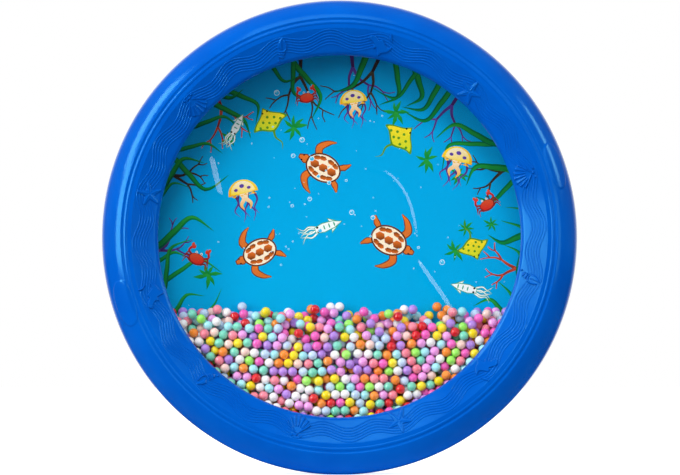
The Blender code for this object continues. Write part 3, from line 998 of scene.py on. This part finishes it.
def clear_head():
    """Clear film disc with its shallow creases, on a grid that is finer along them."""
    paths = [(spline(knots, 12), width, depth) for knots, width, depth in CREASES]

    def lift(x, z):
        total = FILM_SLACK * (1 + math.sin(x * 0.07 + 1.0) * math.sin(z * 0.06))
        for path, width, depth in paths:
            gap, along = nearest_on(path, x, z)
            taper = 1 - (1 - math.sin(math.pi * along)) ** 3
            total += depth * taper * math.exp(-(gap / width) ** 2)
        return total * min(1, (FILM_RADIUS - math.hypot(x, z)) / FILM_HELD)

    def near_crease(place):
        return any(nearest_on(path, place.x, place.y)[0] < 3 * width for path, width, _ in paths)

    bm = bmesh.new()
    bmesh.ops.create_circle(bm, cap_ends=True, cap_tris=True, segments=FILM_COLUMNS, radius=FILM_STEP)
    outer = [edge for edge in bm.edges if edge.is_boundary]
    for radius in np.append(np.arange(2 * FILM_STEP, FILM_RADIUS - FILM_STEP, FILM_STEP), FILM_RADIUS):
        grown = bmesh.ops.extrude_edge_only(bm, edges=outer)["geom"]
        for vert in (item for item in grown if isinstance(item, bmesh.types.BMVert)):
            vert.co = vert.co.normalized() * radius
        outer = [item for item in grown if isinstance(item, bmesh.types.BMEdge) and item.is_boundary]
    creased = {face for face in bm.faces if near_crease(face.calc_center_median())}
    finer = [edge for edge in bm.edges if creased.intersection(edge.link_faces)]
    bmesh.ops.subdivide_edges(bm, edges=finer, cuts=8, use_grid_fill=True)
    front_side = bmesh.ops.extrude_face_region(bm, geom=bm.faces[:], use_keep_orig=True)["geom"]
    front_verts = {item for item in front_side if isinstance(item, bmesh.types.BMVert)}
    for vert in bm.verts:
        x, z = vert.co.x, vert.co.y
        level = FILM_FRONT if vert in front_verts else FILM_BACK
        vert.co = world(x, z, level + lift(x, z))
    return mesh_from(bm, "clear_film_head")


def heads():
    """Clear front head and printed rear head."""
    front = add_piece(clear_head(), clear_film(), "drum")
    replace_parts(front, "clear_head")
    rear = add_piece(print_mesh("printed_film_head"), printed_film(), "drum", 40)
    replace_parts(rear, "printed_head")


# Beads


def loose_beads():
    """Centres of the loose beads, in millimetres from the drum's centre, by colour."""
    places = {}
    for colour in BEAD_COLOURS:
        low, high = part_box("loose_bead_" + colour)
        middle = (low + high) / 2 / MM
        places[colour] = np.array([middle.x, middle.y, middle.z - CENTRE])
    return places


def near_pairs(points, reach):
    """Pairs of points closer than a reach."""
    tree = KDTree(len(points))
    for number, point in enumerate(points):
        tree.insert(point, number)
    tree.balance()
    pairs = [(i, j) for i, point in enumerate(points) for _, j, _ in tree.find_range(point, reach) if j > i]
    return np.array(pairs).T


def settle(fixed):
    """Beads poured into the chamber and settled round the fixed ones."""
    rng = np.random.default_rng(BEAD_SEED)
    limit = CHAMBER_RADIUS - BEAD_RADIUS
    depth = FILM_BACK - BEAD_RADIUS - 0.05
    rows = np.arange(-82, HEAP_TOP + 3, HEAP_PITCH * 0.93)
    layers = np.linspace(-depth, depth, 4)
    heap = np.array([(x, y, z) for z in rows for x in np.arange(-80, 81, HEAP_PITCH) for y in layers])
    heap[:, 0] += 0.5 * HEAP_PITCH * (np.round(heap[:, 2] / HEAP_PITCH) % 2)
    heap += rng.uniform(-HEAP_JITTER, HEAP_JITTER, heap.shape)
    room = np.hypot(heap[:, 0], heap[:, 2]) < limit
    heap = heap[room & (heap[:, 2] < HEAP_TOP + PILE_SLOPE * heap[:, 1])]
    points = np.vstack([fixed, heap])
    held = len(fixed)
    share = np.repeat([0.0, 1.0], [held, len(heap)])
    fall = POUR_FALL * np.array([0, PILE_SLOPE, -1]) / math.hypot(1, PILE_SLOPE)
    for step in range(POUR_STEPS + CALM_STEPS):
        if step < POUR_STEPS:
            points[held:] += fall
        if step % 3 == 0:
            first, second = near_pairs(points, 2.5 * BEAD_RADIUS)
        for _ in range(5):
            gap = points[first] - points[second]
            distance = np.linalg.norm(gap, axis=1) + 1e-9
            overlap = np.maximum(2 * BEAD_RADIUS - distance, 0)
            push = gap * (0.55 * overlap / distance / (share[first] + share[second] + 1e-9))[:, None]
            np.add.at(points, first, push * share[first][:, None])
            np.add.at(points, second, -push * share[second][:, None])
            scale = np.minimum(1, limit / np.maximum(np.hypot(points[:, 0], points[:, 2]), 1e-9))
            points[held:, ::2] *= scale[held:, None]
            points[held:, 1] = np.clip(points[held:, 1], -depth, depth)
    beads = points[held:]
    for spot in fixed:
        beside = np.hypot(beads[:, 0] - spot[0], beads[:, 1] - spot[1]) < 2.05 * BEAD_RADIUS
        beads = beads[~(beside & (beads[:, 2] > spot[2]))]
    return beads


def bead_mesh(name, centres, rng):
    """Balls at the centres, each with its own tone."""
    bm = bmesh.new()
    bmesh.ops.create_icosphere(bm, subdivisions=3, radius=BEAD_RADIUS * MM)
    ball = np.array([vert.co for vert in bm.verts])
    sides = np.array([[vert.index for vert in face.verts] for face in bm.faces])
    bm.free()
    places = [ball + np.array(world(x, z, -y)) for x, y, z in centres]
    faces = [sides + number * len(ball) for number in range(len(centres))]
    mesh = bpy.data.meshes.new(name)
    mesh.from_pydata(np.vstack(places).tolist(), [], np.vstack(faces).tolist())
    tone = mesh.attributes.new("bead_tone", "FLOAT", "POINT")
    tone.data.foreach_set("value", np.repeat(rng.random(len(centres)), len(ball)))
    return mesh


def beads():
    """Pile of beads by colour, and the loose beads on their own bodies."""
    loose = loose_beads()
    pile = settle(np.array(list(loose.values())))
    rng = np.random.default_rng(BEAD_SEED + 1)
    shares = np.array([share for _, share in BEAD_COLOURS.values()])
    picks = rng.choice(len(shares), size=len(pile), p=shares / shares.sum())
    for number, (colour, (srgb, _)) in enumerate(BEAD_COLOURS.items()):
        slot = "bead_" + colour
        mat = bead_plastic(slot, srgb)
        group = add_piece(bead_mesh("beads_" + colour, pile[picks == number], rng), mat, "bead_pile")
        if number == 0:
            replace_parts(group, "bead_pile")
        node = "loose_bead_" + colour
        single = add_piece(bead_mesh("ball_" + colour, [loose[colour]], rng), mat, node)
        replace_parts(single, node)


# Stage


def eased(tree, value, start, end, low, high):
    """Number that eases from low to high as the value goes from start to end."""
    return span(tree, value, low, high, start, end, "SMOOTHSTEP")


def coordinate(tree, axis, vector):
    """One coordinate of a vector."""
    return add_node(tree, "ShaderNodeSeparateXYZ", {0: vector}).outputs[axis]


def shown(tree, light, mirror):
    """Strength by ray: full for the camera, the mirror value for reflections, else the light value."""
    path = add_node(tree, "ShaderNodeLightPath").outputs
    mirrored = combined(tree, "MAXIMUM", path["Is Glossy Ray"], path["Is Transmission Ray"])
    reflected = add_node(tree, "ShaderNodeMix", {0: mirrored, 2: light, 3: mirror}).outputs[0]
    return add_node(tree, "ShaderNodeMix", {0: path["Is Camera Ray"], 2: reflected, 3: 1.0}).outputs[0]


def floor():
    """Pale floor: white with the drum's shadow to the camera, and duller in front for all other rays."""
    mesh = bpy.data.meshes.new("floor")
    mesh.from_pydata([(-6, -6, 0), (6, -6, 0), (6, 6, 0), (-6, 6, 0)], [], [(0, 1, 2, 3)])
    add_object("floor", mesh)
    mat, tree, bright = new_material("floor")
    feed(tree, bright, {
        "Base Color": ramp(tree, noise(tree, 6), (0.86, 0.86, 0.86, 1), (0.9, 0.9, 0.9, 1)),
        "Roughness": 0.9,
        "Specular IOR Level": 0.0,
        "Emission Color": (1, 1, 1, 1),
        "Emission Strength": 0.8,
    })
    diffuse = add_node(tree, "ShaderNodeLightPath").outputs["Is Diffuse Ray"]
    bounce = combined(tree, "MULTIPLY", diffuse, FLOOR_BOUNCE)
    dull = add_node(tree, "ShaderNodeBsdfDiffuse", {"Color": bounce})
    place = add_node(tree, "ShaderNodeTexCoord").outputs["Object"]
    way = add_node(tree, "ShaderNodeVectorMath", {0: place}, operation="NORMALIZE").outputs[0]
    reach = add_node(tree, "ShaderNodeVectorMath", {0: place}, operation="LENGTH").outputs["Value"]
    behind = eased(tree, coordinate(tree, "Y", way), 0.5, 0.95, 0.0, 0.6)
    # For bounce rays the floor under and behind the drum glows: painted light that brightens the drum's lower
    # rim
    beyond = eased(tree, coordinate(tree, "Y", place), -0.05, 0.0, 0.0, 0.9)
    near = combined(tree, "MULTIPLY", beyond, eased(tree, reach, 0.45, 0.15, 0.0, 1.0))
    two_shaders(tree, shown(tree, near, behind), dull, bright)
    mesh.materials.append(mat)


def surroundings():
    """White background, seen in reflections behind the drum only, and a soft fill from above and behind."""
    studio = bpy.data.worlds.new("studio")
    studio.use_nodes = True
    bpy.context.scene.world = studio
    tree = studio.node_tree
    way = add_node(tree, "ShaderNodeTexCoord").outputs["Generated"]
    rear = coordinate(tree, "Y", way)
    above = eased(tree, coordinate(tree, "Z", way), 0.0, 0.85, FILL_LOW, FILL_HIGH)
    fill = combined(tree, "ADD", above, eased(tree, rear, -0.5, 0.3, 0.0, FILL_BACK))
    room = eased(tree, rear, -0.9, -0.3, ROOM_GLOW, SIDE_GLOW)
    seen = combined(tree, "MAXIMUM", room, eased(tree, rear, 0.5, 0.95, 0.0, 1.0))
    feed(tree, tree.nodes["Background"], {"Color": (1, 1, 1, 1), "Strength": shown(tree, fill, seen)})


def aimed(obj, turn, lift):
    """Turn a lamp or camera toward the drum; gives the way to it from the drum."""
    turn, lift = math.radians(turn), math.radians(lift)
    way = Vector((math.sin(turn) * math.cos(lift), -math.cos(turn) * math.cos(lift), math.sin(lift)))
    obj.rotation_euler = (-way).to_track_quat("-Z", "Y").to_euler()
    return way


def softbox(name, turn, lift, distance, size, level, mirrored=True):
    """Softbox aimed at the drum; the level is the share of full brightness it gives a facing surface."""
    data = bpy.data.lights.new(name, "AREA")
    data.shape = "RECTANGLE"
    data.size, data.size_y = size
    data.energy = level * math.pi ** 2 * distance ** 2
    obj = add_object(name, data)
    obj.location = world(0, 0, 0) + aimed(obj, turn, lift) * distance
    obj.visible_glossy = mirrored


def lights():
    """Studio softboxes: bright ones at the left and above, weaker ones at the right for its highlights."""
    softbox("key", -54, 0, 1.4, (0.5, 0.95), 0.617)
    softbox("left_window", -64, 31, 1.4, (0.45, 0.6), 0.35)
    softbox("right_window", 74, 26, 1.4, (0.25, 0.5), 0.13)
    softbox("top", -8, 42, 1.5, (0.8, 0.5), 0.55, mirrored=False)
    softbox("left_fill", -28, 18, 1.4, (0.7, 0.7), 0.16, mirrored=False)
    softbox("ceiling", -10, 52, 1.5, (0.8, 0.5), 0.1)
    softbox("strip", 24, 17, 1.3, (0.45, 0.6), 0.11)
    softbox("right_card", 50, 3, 1.0, (0.2, 0.35), 0.045)


def camera():
    """Camera a little under the drum's axis, framed as the photograph."""
    data = bpy.data.cameras.new("camera")
    data.sensor_width = 36.0
    focal_pixels = RIM_PIXELS * (CAMERA_DISTANCE / MM - WALL_TOP) / DRUM_RADIUS
    data.lens = focal_pixels / IMAGE_WIDTH * data.sensor_width
    obj = add_object("camera", data)
    way = aimed(obj, CAMERA_TURN, CAMERA_LIFT)
    pixel = DRUM_RADIUS / RIM_PIXELS * MM
    aside = Vector((IMAGE_WIDTH / 2 - RIM_CENTRE[0], RIM_CENTRE[1] - IMAGE_HEIGHT / 2, 0)) * pixel
    aside.rotate(obj.rotation_euler)
    obj.location = world(0, 0, WALL_TOP) + way * (CAMERA_DISTANCE - WALL_TOP * MM) + aside
    bpy.context.scene.camera = obj


def node_finishes(blue):
    """Finishes for the CAD nodes that stay."""
    finishes = dict.fromkeys(("track_hoop", "clear_head_ring", "printed_head_ring"), blue)
    finishes |= dict.fromkeys([f"screw_{number}" for number in range(1, SCREW_COUNT + 1)], plated_steel())
    for node, mat in finishes.items():
        slots = frame["nodes"][node].data.materials
        slots.clear()
        slots.append(mat)


bpy.context.scene.view_settings.view_transform = "Standard"
camera()
plastic = moulded_plastic()
front_ring(plastic)
rear_ring(plastic)
ornaments(plastic)
heads()
beads()
node_finishes(plastic)
floor()
surroundings()
lights()
